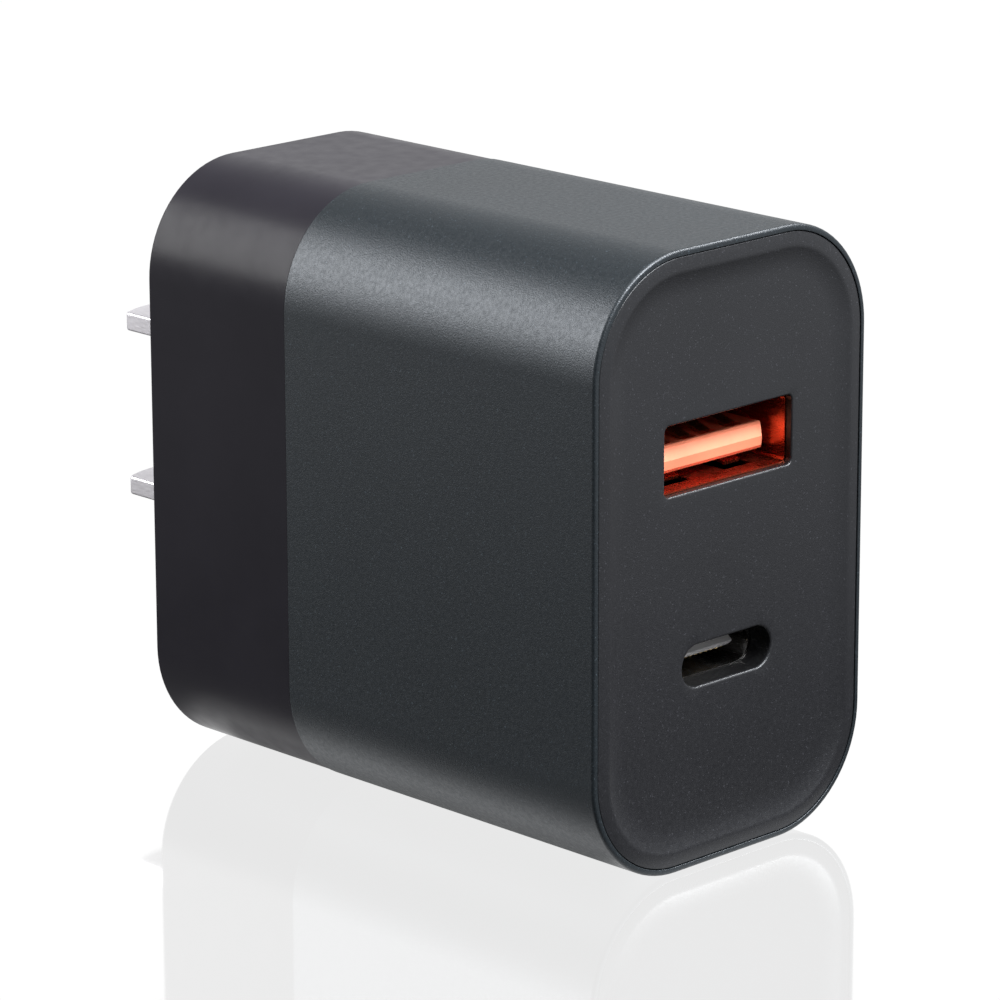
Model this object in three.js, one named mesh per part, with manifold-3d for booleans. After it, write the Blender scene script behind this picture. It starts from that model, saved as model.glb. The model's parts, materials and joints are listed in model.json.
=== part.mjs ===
// Two-outlet USB wall charger with fixed flat mains blades.
// Millimetres, +Z up. The front face with the outlets looks along -Y, the blades point along +Y.
// The origin is below the middle of the charger's length, at the level that the body rests on.
import * as THREE from 'three';
import { mergeVertices } from 'three/addons/utils/BufferGeometryUtils.js';
import Module from 'manifold-3d';

const wasm = await Module();
wasm.setup();

// ---- driving dimensions -------------------------------------------------------------------

// Body: a rounded rectangle in section, split into a sleeve and a rear cover.
const WIDTH = 26.6;
const HEIGHT = 43.4;
const CORNER = 8.1;
const FRONT = -30;
const REAR = 14.35;
const MID = HEIGHT / 2;
const WALL = 1.6;
const SEAM = 0.15;
const REAR_WALL = 1.8;
const REAR_EDGE = 0.2;

// Front panel, let into the mouth of the sleeve.
const RIM = 0.45;
const GROOVE = 0.1;
const PANEL = 1.5;
const DISH_INSET = 1.25;
const DISH_SLOPE = 2.5;
const DISH_DEPTH = 0.35;
const PANEL_BACK = FRONT + PANEL;

// Spigot of the rear cover, which slides into the sleeve.
const SPIGOT_GAP = 0.1;
const SPIGOT_WALL = 1.1;
const SPIGOT_REACH = 2.2;
const SPIGOT_ROOT = 3;

// Mains blades: 12.7 mm apart, 6.35 mm wide and 1.4 mm thick, with a crowned tip.
const BLADE_PITCH = 12.7;
const BLADE_WIDTH = 6.35;
const BLADE_THICK = 1.4;
const BLADE_TIP = 29.6;
const BLADE_TAIL = 8.6;
const BLADE_CROWN = 7.1;
const BLADE_LAND = 0.8;
const BLADE_CORNER = 0.4;
const BLADE_EDGE = 0.15;
const BLADE_FIT = 0.05;

// Outlets in the front panel.
const USB_A_Z = 29;
const USB_A_OPENING = { width: 12.5, height: 4.9, radius: 0.45 };
const USB_A_INNER = { width: 12.3, height: 4.7, radius: 0.4 };
const USB_A_LEDGE = 0.55;
const USB_C_Z = 14.2;
const USB_C_OPENING = { width: 8.8, height: 3.0, radius: 1.49 };
const USB_C_INNER = { width: 8.34, height: 2.56, radius: 1.27 };
const USB_C_SEAT_Z = 14.03;
const USB_C_COLLAR = 0.75;
const SHELL = 0.3;
const SEAT_GAP = 0.1;
const REST_GAP = 0.05;
const LEDGE_BACK = FRONT + DISH_DEPTH + USB_A_LEDGE;

// Boards: the main board stands on edge along Y, the port board across it behind the outlets.
const BOARD_THICK = 1.2;
const BOARD_FACE = -7.2;
const BOARD = { y0: -13, y1: 11.4, z0: 5, z1: 38.4 };
const PORT_BOARD = { x: 10.2, y0: -14.4, y1: -13.4, z0: 7, z1: 37 };
const PIN = 0.6;
const PIN_HOLE = 1;
const PIN_REACH = -9.2;
const SOLDER_FACE = BOARD_FACE - BOARD_THICK;

// Transformer on the main board, its winding axis along X.
const CORE = { y: -1, z: MID, width: 13, height: 15, plate: 2.2, leg: 1.8, post: 2.6 };
const CORE_BASE = -6.8;
const CORE_TOP = 8;
const CORE_SPLIT = (CORE_BASE + CORE_TOP) / 2;

const ARC_STEPS = 7;

// ---- shapes -------------------------------------------------------------------------------

function roundedRect(width, height, radius, centre = 0) {
  const [x, z] = [width / 2 - radius, height / 2 - radius];
  const shape = new THREE.Shape();
  shape.absarc(x, centre + z, radius, 0, Math.PI / 2);
  shape.absarc(-x, centre + z, radius, Math.PI / 2, Math.PI);
  shape.absarc(-x, centre - z, radius, Math.PI, Math.PI * 1.5);
  shape.absarc(x, centre - z, radius, Math.PI * 1.5, Math.PI * 2);
  shape.closePath();
  return shape;
}

// The body's outline, drawn in by inset.
function bodyOutline(inset) {
  return roundedRect(WIDTH - 2 * inset, HEIGHT - 2 * inset, CORNER - inset, MID);
}

function polygon(points) {
  return new THREE.Shape(points.map(([u, v]) => new THREE.Vector2(u, v)));
}

// A bent strip of constant thickness along a line of points.
function stripShape(points, thickness) {
  const line = points.map(([u, v]) => new THREE.Vector2(u, v));
  const side = [];
  line.forEach((point, i) => {
    const before = line[Math.max(i - 1, 0)];
    const after = line[Math.min(i + 1, line.length - 1)];
    const first = (i ? point : after).clone().sub(i ? before : point).normalize();
    const last = i < line.length - 1 ? after.clone().sub(point).normalize() : first;
    const mitre = new THREE.Vector2(-first.y - last.y, first.x + last.x).normalize();
    const reach = thickness / 2 / (-mitre.x * first.y + mitre.y * first.x);
    side.push(mitre.multiplyScalar(reach));
  });
  const left = line.map((point, i) => point.clone().add(side[i]));
  const right = line.map((point, i) => point.clone().sub(side[i])).reverse();
  return new THREE.Shape([...left, ...right]);
}

function extrude(shape, depth, bevel) {
  const options = { depth, curveSegments: ARC_STEPS, bevelEnabled: Boolean(bevel), ...bevel };
  return new THREE.ExtrudeGeometry(shape, options);
}

// An outline in X and Z, drawn out along Y.
function alongY(shape, y0, y1, bevel) {
  return extrude(shape, y1 - y0, bevel).rotateX(Math.PI / 2).translate(0, y1, 0);
}

// An outline in Y and Z, drawn out along X.
function alongX(shape, x0, x1) {
  const turn = new THREE.Matrix4().set(0, 0, 1, x0, 1, 0, 0, 0, 0, 1, 0, 0, 0, 0, 0, 1);
  return extrude(shape, x1 - x0).applyMatrix4(turn);
}

// An outline in X and Y, drawn out along Z.
function alongZ(shape, z0, z1) {
  return extrude(shape, z1 - z0).translate(0, 0, z0);
}

function block(x0, x1, y0, y1, z0, z1) {
  const box = new THREE.BoxGeometry(x1 - x0, y1 - y0, z1 - z0);
  return box.translate((x0 + x1) / 2, (y0 + y1) / 2, (z0 + z1) / 2);
}

// A cylinder whose axis runs along X at the given Y and Z.
function cylinderX(radius, x0, x1, y, z, sides = 24) {
  const geometry = new THREE.CylinderGeometry(radius, radius, x1 - x0, sides);
  return geometry.rotateZ(-Math.PI / 2).translate((x0 + x1) / 2, y, z);
}

// ---- solids -------------------------------------------------------------------------------

function solid(shape) {
  if (!shape.isBufferGeometry) return shape;
  const bare = shape.clone();
  bare.deleteAttribute('normal');
  bare.deleteAttribute('uv');
  const merged = mergeVertices(bare, 1e-5);
  return new wasm.Manifold(new wasm.Mesh({
    numProp: 3,
    vertProperties: new Float32Array(merged.attributes.position.array),
    triVerts: new Uint32Array(merged.index.array),
  }));
}

function join(...shapes) {
  return shapes.map(solid).reduce((whole, piece) => whole.add(piece));
}

function cut(body, ...tools) {
  return tools.map(solid).reduce((whole, tool) => whole.subtract(tool), solid(body));
}

function keep(body, region) {
  return solid(body).intersect(solid(region));
}

function geometryOf(manifold) {
  const { vertProperties, triVerts } = manifold.getMesh();
  const geometry = new THREE.BufferGeometry();
  geometry.setAttribute('position', new THREE.BufferAttribute(vertProperties, 3));
  geometry.setIndex(new THREE.BufferAttribute(triVerts, 1));
  geometry.computeVertexNormals();
  return geometry;
}

// ---- finishes -----------------------------------------------------------------------------

const FINISHES = {
  texturedShell: { color: 0x34373b, roughness: 0.55, metalness: 0 },
  smoothCover: { color: 0x2a292d, roughness: 0.25, metalness: 0 },
  nickel: { color: 0xc9c6c0, roughness: 0.3, metalness: 1 },
  shellSteel: { color: 0x9a9a9c, roughness: 0.3, metalness: 1 },
  orangePlastic: { color: 0xe8602c, roughness: 0.45, metalness: 0 },
  greyPlastic: { color: 0xa9a9aa, roughness: 0.5, metalness: 0 },
  blackPlastic: { color: 0x1b1b1d, roughness: 0.5, metalness: 0 },
  contactMetal: { color: 0xc8a866, roughness: 0.3, metalness: 1 },
  board: { color: 0x1f5a38, roughness: 0.5, metalness: 0 },
  ferrite: { color: 0x2c2d2f, roughness: 0.6, metalness: 0.1 },
  copperWire: { color: 0xa85a2a, roughness: 0.35, metalness: 1 },
  yellowTape: { color: 0xd9b93a, roughness: 0.45, metalness: 0 },
  canSleeve: { color: 0x23262c, roughness: 0.35, metalness: 0 },
  blueCoat: { color: 0x2a5aa8, roughness: 0.4, metalness: 0 },
  yellowCase: { color: 0xd8b540, roughness: 0.45, metalness: 0 },
  fuseCase: { color: 0x6a3b22, roughness: 0.4, metalness: 0 },
  whiteSheet: { color: 0xdedcd4, roughness: 0.6, metalness: 0 },
  padGrey: { color: 0x8f9aa6, roughness: 0.85, metalness: 0 },
  aluminium: { color: 0xb9bbbd, roughness: 0.4, metalness: 1 },
};

const charger = new THREE.Group();

function piece(name, shape, finish) {
  const mesh = new THREE.Mesh(geometryOf(solid(shape)), new THREE.MeshStandardMaterial(FINISHES[finish]));
  mesh.name = name;
  charger.add(mesh);
}

// ---- housing ------------------------------------------------------------------------------

const SNAP = { offset: 8, half: 2.5, x: 10.55, thick: 1, y1: -22.6, hook: -24.2, barb: 0.55 };
const SNAP_PLACES = [-1, 1].flatMap((side) => [-1, 1].map((row) => [side, MID + row * SNAP.offset]));

function mirroredX(shape, side) {
  return side > 0 ? solid(shape) : solid(shape).mirror([1, 0, 0]);
}

function snapLeg(side, z) {
  const outer = SNAP.x + SNAP.thick;
  const leg = block(SNAP.x, outer, PANEL_BACK - 0.2, SNAP.y1, z - SNAP.half, z + SNAP.half);
  const barb = polygon([[outer - 0.1, SNAP.hook], [outer + SNAP.barb, SNAP.hook], [outer - 0.1, SNAP.y1]]);
  return mirroredX(join(leg, alongZ(barb, z - SNAP.half, z + SNAP.half)), side);
}

function snapPocket(side, z) {
  const inner = WIDTH / 2 - WALL;
  const half = SNAP.half + 0.3;
  const [y0, y1] = [SNAP.hook - 0.3, SNAP.y1 + 0.3];
  return mirroredX(block(inner - 0.2, inner + 0.65, y0, y1, z - half, z + half), side);
}

// Rails on the roof and floor of the sleeve, which the edges of the main board slide between.
function boardRails(envelope) {
  const [rail, grip, play, y0, y1] = [0.6, 0.5, 0.1, -12, -5.4];
  const [near, far] = [BOARD_FACE + play, SOLDER_FACE - play];
  const sides = [[near, near + rail], [far - rail, far]];
  return sides.flatMap(([x0, x1]) => [
    keep(block(x0, x1, y0, y1, BOARD.z1 - grip, HEIGHT), envelope),
    keep(block(x0, x1, y0, y1, 0, BOARD.z0 + grip), envelope),
  ]);
}

function mainSleeve() {
  const bore = alongY(bodyOutline(WALL), FRONT - 1, 1);
  const mouth = alongY(bodyOutline(RIM), FRONT - 1, PANEL_BACK + REST_GAP);
  const pockets = SNAP_PLACES.map(([side, z]) => snapPocket(side, z));
  const tube = cut(alongY(bodyOutline(0), FRONT, 0), bore, mouth, ...pockets);
  const envelope = alongY(bodyOutline(WALL / 2), FRONT, 0);
  return join(tube, ...boardRails(envelope));
}

function outletShape(size, z, grow = 0) {
  return roundedRect(size.width + 2 * grow, size.height + 2 * grow, size.radius + grow, z);
}

function frontPanel() {
  const dish = alongY(bodyOutline(DISH_INSET + DISH_SLOPE), FRONT - 1, FRONT, {
    bevelThickness: DISH_DEPTH, bevelSize: DISH_SLOPE, bevelSegments: 4,
  });
  const plate = cut(alongY(bodyOutline(RIM + GROOVE), FRONT, PANEL_BACK), dish);
  const collar = alongY(outletShape(USB_C_OPENING, USB_C_Z, 0.9), PANEL_BACK - 0.5, PANEL_BACK + USB_C_COLLAR);
  const legs = SNAP_PLACES.map(([side, z]) => snapLeg(side, z));
  const openingA = alongY(outletShape(USB_A_OPENING, USB_A_Z), FRONT - 1, PANEL_BACK + 1);
  const seatA = alongY(outletShape(USB_A_INNER, USB_A_Z, SHELL + SEAT_GAP), LEDGE_BACK, PANEL_BACK + 1);
  const openingC = alongY(outletShape(USB_C_OPENING, USB_C_Z), FRONT - 1, PANEL_BACK + 2);
  return cut(join(plate, collar, ...legs), openingA, seatA, openingC);
}

const BLADE_ROWS = [['upper', MID + BLADE_PITCH / 2], ['lower', MID - BLADE_PITCH / 2]];

function rearCover() {
  const floor = REAR - REAR_WALL;
  const inner = WALL + SPIGOT_GAP + SPIGOT_WALL;
  const rounded = {
    bevelThickness: REAR_EDGE, bevelSize: REAR_EDGE, bevelOffset: -REAR_EDGE, bevelSegments: 2,
  };
  const outside = alongY(bodyOutline(0), -2, REAR - REAR_EDGE, rounded);
  const shell = keep(outside, block(-WIDTH, WIDTH, SEAM, REAR + 1, -1, HEIGHT + 1));
  const spigot = alongY(bodyOutline(WALL + SPIGOT_GAP), -SPIGOT_REACH, SPIGOT_ROOT);
  const mouth = alongY(bodyOutline(inner), -SPIGOT_REACH - 1, SPIGOT_ROOT + 0.1);
  const cavity = alongY(bodyOutline(WALL), SPIGOT_ROOT, floor);
  const hollow = cut(join(shell, spigot), mouth, cavity);
  const bosses = BLADE_ROWS.map(([, z]) => block(-4.6, 4.6, floor - 2, floor + 0.2, z - 2.2, z + 2.2));
  const [x, half] = [BLADE_WIDTH / 2 + BLADE_FIT, BLADE_THICK / 2 + BLADE_FIT];
  const slots = BLADE_ROWS.map(([, z]) => block(-x, x, floor - 3, REAR + 1, z - half, z + half));
  return cut(join(hollow, ...bosses), ...slots);
}

// A flat blade. In plan its tip is a land in the middle, a shallow crown either side and rounded corners.
function blade(z) {
  const [x, half, edge] = [BLADE_WIDTH / 2, BLADE_THICK / 2, BLADE_EDGE];
  const crown = (u) => BLADE_TIP - (u * u - BLADE_LAND * BLADE_LAND) / (2 * BLADE_CROWN);
  const shoulder = x - BLADE_CORNER;
  const spots = [BLADE_LAND, 1.5, 2.2, shoulder];
  const corner = crown(shoulder) - BLADE_CORNER;
  const right = [[x, corner], [x - BLADE_CORNER * 0.3, corner + BLADE_CORNER * 0.7],
    ...spots.map((u) => [u, crown(u)]).reverse()];
  const left = right.map(([u, v]) => [-u, v]).reverse();
  const plan = polygon([[-x, BLADE_TAIL], [x, BLADE_TAIL], ...right, ...left]);
  const section = polygon([[BLADE_TAIL - 1, z - half], [BLADE_TIP - edge, z - half],
    [BLADE_TIP, z - half + edge], [BLADE_TIP, z + half - edge], [BLADE_TIP - edge, z + half],
    [BLADE_TAIL - 1, z + half]]);
  return keep(alongZ(plan, z - half, z + half), alongX(section, -x, x));
}

piece('main_sleeve', mainSleeve(), 'texturedShell');
piece('front_panel', frontPanel(), 'texturedShell');
piece('rear_cover', rearCover(), 'smoothCover');
BLADE_ROWS.forEach(([row, z]) => piece(`${row}_blade`, blade(z), 'nickel'));

// ---- USB-A receptacle ---------------------------------------------------------------------

const SHELL_REAR = -14.6;
const USB_A_FRONT = LEDGE_BACK + REST_GAP;
const USB_A_FLANGE = PANEL_BACK + REST_GAP;
const USB_A_PINS = [-3.5, -1, 1, 3.5];
const TONGUE_A = { half: 5.6, bottom: 27.47, ridge: 28.37, top: 29.27, nose: -27.8, root: -18 };
const TAIL_END = -12.6;
const CONTACT_A = { half: 0.5, thick: 0.25, play: 0.2 };

function shellTube(size, z, y0, y1) {
  return cut(alongY(outletShape(size, z, SHELL), y0, y1), alongY(outletShape(size, z), y0 - 1, y1 + 1));
}

// Two tabs that pass through the port board on either side of a receptacle.
function shellTabs(size, z) {
  const x = size.width / 2;
  const tab = block(x, x + SHELL, SHELL_REAR - 0.5, TAIL_END, z - 0.9, z + 0.9);
  return [-1, 1].map((side) => mirroredX(tab, side));
}

// Windows in the shell's roof and floor, each with a spring finger that leans inwards.
function springFinger(x, side) {
  const z = USB_A_Z + side * (USB_A_INNER.height / 2 + SHELL / 2);
  const lean = side * -0.5;
  const line = [[-21, z], [-22, z], [-26.4, z + lean], [-27.1, z + lean * 0.7]];
  const strip = alongX(stripShape(line, SHELL - 0.06), x - 0.75, x + 0.75);
  return { window: block(x - 1.3, x + 1.3, -27.7, -21.5, z - 0.4, z + 0.4), strip };
}

function usbAShell() {
  const tube = shellTube(USB_A_INNER, USB_A_Z, USB_A_FRONT, SHELL_REAR);
  const flange = cut(alongY(outletShape(USB_A_INNER, USB_A_Z, 0.8), USB_A_FLANGE, USB_A_FLANGE + SHELL),
    alongY(outletShape(USB_A_INNER, USB_A_Z), FRONT, PANEL_BACK + 1));
  const fingers = [-3, 3].flatMap((x) => [-1, 1].map((side) => springFinger(x, side)));
  const open = cut(join(tube, flange), ...fingers.map((finger) => finger.window));
  return join(open, ...fingers.map((finger) => finger.strip), ...shellTabs(USB_A_INNER, USB_A_Z));
}

function usbAInsulator() {
  const { half, bottom, ridge, top, nose, root } = TONGUE_A;
  const profile = polygon([[root + 0.5, bottom], [nose + 0.3, bottom], [nose + 0.1, bottom + 0.25],
    [nose, ridge], [nose + 0.4, top - 0.15], [nose + 0.6, top], [root + 0.5, top]]);
  const plan = polygon([[-half, root + 1], [-half, nose + 0.5], [-half + 0.35, nose], [half - 0.35, nose],
    [half, nose + 0.5], [half, root + 1]]);
  const tongue = keep(alongX(profile, -half, half), alongZ(plan, bottom - 1, top + 1));
  const rear = alongY(outletShape({ width: 12, height: 4.4, radius: 0.3 }, USB_A_Z), root, SHELL_REAR);
  const { half: w, thick, play } = CONTACT_A;
  const slots = USB_A_PINS.flatMap((x) => [
    block(x - w - play, x + w + play, nose + 0.9, root + 0.5, top - 0.35, top + 0.5),
    block(x - w - play, x + w + play, root - 0.5, SHELL_REAR + 1, top - 0.35, top + thick + play),
  ]);
  return cut(join(tongue, rear), ...slots);
}

// A contact springs up out of its groove in the tongue and runs back through the port board.
function usbAContact(x) {
  const z = TONGUE_A.top - 0.05;
  const line = [[-26.4, z], [-23.6, z + 0.85], [-22.8, z + 0.85], [-20, z], [TAIL_END, z]];
  return alongX(stripShape(line, CONTACT_A.thick), x - CONTACT_A.half, x + CONTACT_A.half);
}

piece('usb_a_shell', usbAShell(), 'shellSteel');
piece('usb_a_insulator', usbAInsulator(), 'orangePlastic');
USB_A_PINS.forEach((x, i) => piece(`usb_a_contact_${i + 1}`, usbAContact(x), 'contactMetal'));

// ---- USB-C receptacle ---------------------------------------------------------------------

const USB_C_FRONT = PANEL_BACK + USB_C_COLLAR + REST_GAP;
const TONGUE_C = { half: 3.345, thick: 0.35, nose: -26.95, root: -20.5 };

function usbCShell() {
  const tube = shellTube(USB_C_INNER, USB_C_SEAT_Z, USB_C_FRONT, SHELL_REAR);
  return join(tube, ...shellTabs(USB_C_INNER, USB_C_SEAT_Z));
}

function usbCInsulator() {
  const { half, thick, nose, root } = TONGUE_C;
  const [z, land, chamfer] = [USB_C_SEAT_Z, 0.05, 0.35];
  const profile = polygon([[root + 0.5, z - thick], [nose + chamfer, z - thick], [nose, z - land],
    [nose, z + land], [nose + chamfer, z + thick], [root + 0.5, z + thick]]);
  const rear = outletShape({ width: 8.1, height: 2.3, radius: 1.14 }, USB_C_SEAT_Z);
  return join(alongX(profile, -half, half), alongY(rear, root, SHELL_REAR));
}

// A row of twelve contacts on one face of the tongue, cut from one strip.
function usbCContacts(side) {
  const [pitch, width, thick, count, y0, y1] = [0.5, 0.25, 0.08, 12, -26.5, -20.9];
  const z = USB_C_SEAT_Z + side * (TONGUE_C.thick + 0.06);
  const [z0, z1] = [z - thick / 2, z + thick / 2];
  const fingers = Array.from({ length: count }, (_, i) => {
    const x = (i - (count - 1) / 2) * pitch;
    return block(x - width / 2, x + width / 2, y0, y1, z0, z1);
  });
  return join(block(-3, 3, y1 - 0.3, y1, z0, z1), ...fingers);
}

piece('usb_c_shell', usbCShell(), 'shellSteel');
piece('usb_c_insulator', usbCInsulator(), 'greyPlastic');
piece('usb_c_contacts_upper', usbCContacts(1), 'contactMetal');
piece('usb_c_contacts_lower', usbCContacts(-1), 'contactMetal');

// ---- main board components ----------------------------------------------------------------

const pinPlaces = [];

// Leads from a component down through the main board, at places given in Y and Z.
function withLeads(body, places, from = BOARD_FACE + 0.6) {
  pinPlaces.push(...places);
  const half = PIN / 2;
  const leads = places.map(([y, z]) => block(PIN_REACH, from, y - half, y + half, z - half, z + half));
  return join(body, ...leads);
}

// An electrolytic can standing on the board, with the rolled groove near its base.
function can(radius, height, y, z) {
  const base = BOARD_FACE + 0.2;
  const [groove, depth] = [1.6, radius * 0.07];
  const profile = [[0, 0], [radius, 0], [radius, groove - 0.4], [radius - depth, groove], [radius, groove + 0.4],
    [radius, height - 0.3], [radius - 0.3, height], [0, height]].map(([r, h]) => new THREE.Vector2(r, h));
  const body = new THREE.LatheGeometry(profile, 24).rotateZ(-Math.PI / 2).translate(base, y, z);
  const half = radius * 0.45;
  return withLeads(body, [[y, z - half], [y, z + half]]);
}

// One half of the transformer core: a plate, two outer legs and a round middle post.
function coreHalf(side) {
  const { y, z, width, height, plate, leg, post } = CORE;
  const outer = side > 0 ? CORE_TOP : CORE_BASE;
  const split = CORE_SPLIT + side * 0.05;
  const span = (a, b) => [Math.min(a, b), Math.max(a, b)];
  const [y0, y1] = [y - width / 2, y + width / 2];
  const base = block(...span(outer, outer - side * plate), y0, y1, z - height / 2, z + height / 2);
  const legs = [-1, 1].map((end) => {
    const edge = z + end * height / 2;
    return block(...span(outer, split), y0, y1, ...span(edge, edge - end * leg));
  });
  return join(base, ...legs, cylinderX(post, ...span(outer - side, split), y, z, 20));
}

const BOBBIN = {
  x0: CORE_BASE + CORE.plate + 0.1, x1: CORE_TOP - CORE.plate - 0.1, flange: 0.6, bore: 2.8, barrel: 3.3,
};
const BOBBIN_RAILS = { near: 6.6, far: 8, half: 4.7, pinHalf: 3.6, pins: 4 };

function bobbin() {
  const { y, z } = CORE;
  const { x0, x1, flange, bore, barrel } = BOBBIN;
  const { near, far, half, pinHalf, pins } = BOBBIN_RAILS;
  const body = join(cylinderX(barrel, x0, x1, y, z), cylinderX(5.5, x1 - flange, x1, y, z),
    block(x0, x0 + flange, y - far, y + far, z - half, z + half));
  const rails = [-1, 1].map((side) => {
    const [y0, y1] = side > 0 ? [y + near, y + far] : [y - far, y - near];
    return block(BOARD_FACE + 0.2, x0 + 0.3, y0, y1, z - half, z + half);
  });
  const places = [-1, 1].flatMap((side) => Array.from({ length: pins }, (_, i) => [
    y + side * (near + far) / 2, z - pinHalf + i * (2 * pinHalf / (pins - 1)),
  ]));
  return withLeads(cut(join(body, ...rails), cylinderX(bore, x0 - 1, x1 + 1, y, z)), places);
}

function coil(inner, outer, x0, x1, y, z) {
  return cut(cylinderX(outer, x0, x1, y, z, 28), cylinderX(inner, x0 - 1, x1 + 1, y, z, 28));
}

piece('transformer_core_lower', coreHalf(-1), 'ferrite');
piece('transformer_core_upper', coreHalf(1), 'ferrite');
piece('transformer_bobbin', bobbin(), 'blackPlastic');
const [WIND_X0, WIND_X1] = [BOBBIN.x0 + BOBBIN.flange + 0.1, BOBBIN.x1 - BOBBIN.flange - 0.1];
piece('transformer_winding', coil(BOBBIN.barrel + 0.05, 4.9, WIND_X0, WIND_X1, CORE.y, CORE.z), 'copperWire');
piece('transformer_tape', coil(4.95, 5.2, WIND_X0, WIND_X1, CORE.y, CORE.z), 'yellowTape');

piece('bulk_capacitor_1', can(4, 14.5, 7.2, 34.6), 'canSleeve');
piece('bulk_capacitor_2', can(4, 14.5, -1.2, 34.6), 'canSleeve');
piece('output_capacitor_1', can(3.15, 11, -9.1, 34.4), 'aluminium');
piece('output_capacitor_2', can(3.15, 11, -9.1, 8.9), 'aluminium');

// Common-mode choke: a ring core with a winding wrapped round each half.
const CHOKE = { y: -1.2, z: 8.8, inner: 2.2, outer: 4, x0: -6.4, x1: -3.2, wrap: 0.35, gap: 0.1, slot: 1.1 };

function chokeWinding(side) {
  const { y, z, inner, outer, x0, x1, wrap, gap, slot } = CHOKE;
  const sleeve = cut(coil(inner - gap - wrap, outer + gap + wrap, x0 - gap - wrap, x1 + gap + wrap, y, z),
    coil(inner - gap, outer + gap, x0 - gap, x1 + gap, y, z));
  const [y0, y1] = side > 0 ? [y + slot, y + 9] : [y - 9, y - slot];
  return keep(sleeve, block(-9, 9, y0, y1, z - 9, z + 9));
}

piece('choke_core', coil(CHOKE.inner, CHOKE.outer, CHOKE.x0, CHOKE.x1, CHOKE.y, CHOKE.z), 'ferrite');
piece('choke_winding_1', chokeWinding(1), 'copperWire');
piece('choke_winding_2', chokeWinding(-1), 'copperWire');

const filterCase = block(BOARD_FACE + 0.1, 0.8, 4.2, 11.2, 5.4, 11.4);
piece('mains_filter_capacitor', withLeads(filterCase, [[5.4, 8.4], [10, 8.4]]), 'yellowCase');
const fuseCase = cylinderX(1.7, BOARD_FACE + 0.1, 1.2, 8.9, 19.4);
piece('fuse', withLeads(fuseCase, [[8.9, 18.5], [8.9, 20.3]]), 'fuseCase');

// A coated disc standing on edge, its axis along Z.
function discZ(radius, x, y, z0, z1) {
  return new THREE.CylinderGeometry(radius, radius, z1 - z0, 24).rotateX(Math.PI / 2)
    .translate(x, y, (z0 + z1) / 2);
}

const varistorDisc = discZ(2.4, -4.4, 9.7, 22.5, 25.5);
piece('surge_varistor', withLeads(varistorDisc, [[8.7, 24], [10.7, 24]], -5.5), 'blueCoat');
const safetyDisc = new THREE.CylinderGeometry(2.9, 2.9, 2.8, 24).translate(-4, -10.9, 14.9);
piece('safety_capacitor', withLeads(safetyDisc, [[-10.9, 13.6], [-10.9, 16.2]], -5.5), 'blueCoat');

const optoCase = block(BOARD_FACE + 0.3, -3.6, -12.6, -8.2, 26.8, 31.2);
const optoLeads = [-11.67, -9.13].flatMap((y) => [27.2, 30.8].map((z) => [y, z]));
piece('optocoupler', withLeads(optoCase, optoLeads), 'blackPlastic');

// Chips on the solder side.
function solderSideChip(y0, y1, z0, z1, height) {
  return block(SOLDER_FACE - REST_GAP - height, SOLDER_FACE - REST_GAP, y0, y1, z0, z1);
}

piece('bridge_rectifier', solderSideChip(5, 9.6, 27.2, 31.8, 1.4), 'blackPlastic');
piece('switching_chip', solderSideChip(-4, 2, 18.7, 24.7, 1), 'blackPlastic');
piece('synchronous_rectifier', solderSideChip(-6.6, -1.6, 27.6, 31.5, 1.4), 'blackPlastic');

// Leaf springs from the board to the tails of the blades.
function bladeContact(z) {
  const [foot, leaf, bulge] = [BOARD_FACE + 0.2, BLADE_TAIL - 0.6, BLADE_TAIL - 0.25];
  const line = [[foot, leaf - 2], [foot, leaf], [-1.6, leaf], [0, bulge], [1.6, leaf]];
  return alongZ(stripShape(line, 0.3), z - 1.5, z + 1.5);
}

BLADE_ROWS.forEach(([row, z]) => piece(`${row}_blade_contact`, bladeContact(z), 'contactMetal'));

// ---- boards and inserts -------------------------------------------------------------------

const HEADER = {
  x0: BOARD_FACE + 0.1, x1: -4.9, y0: -13.35, y1: -11, z0: 18.2, z1: 25.2, pins: 3, pitch: 2.2,
};
const HEADER_X = (HEADER.x0 + HEADER.x1) / 2;
const HEADER_Y = (HEADER.y0 + HEADER.y1) / 2 + 0.5;
const headerRows = Array.from({ length: HEADER.pins }, (_, i) => (
  (HEADER.z0 + HEADER.z1) / 2 + (i - (HEADER.pins - 1) / 2) * HEADER.pitch));

function boardHeader() {
  const body = block(HEADER.x0, HEADER.x1, HEADER.y0, HEADER.y1, HEADER.z0, HEADER.z1);
  const half = PIN / 2;
  const forward = headerRows.map((z) => (
    block(HEADER_X - half, HEADER_X + half, PORT_BOARD.y0 - 0.8, HEADER.y1 - 0.5, z - half, z + half)));
  return withLeads(join(body, ...forward), headerRows.map((z) => [HEADER_Y, z]));
}

piece('board_header', boardHeader(), 'blackPlastic');

function mainBoard() {
  const half = PIN_HOLE / 2;
  const holes = pinPlaces.map(([y, z]) => (
    block(SOLDER_FACE - 1, BOARD_FACE + 1, y - half, y + half, z - half, z + half)));
  return cut(block(SOLDER_FACE, BOARD_FACE, BOARD.y0, BOARD.y1, BOARD.z0, BOARD.z1), ...holes);
}

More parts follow.
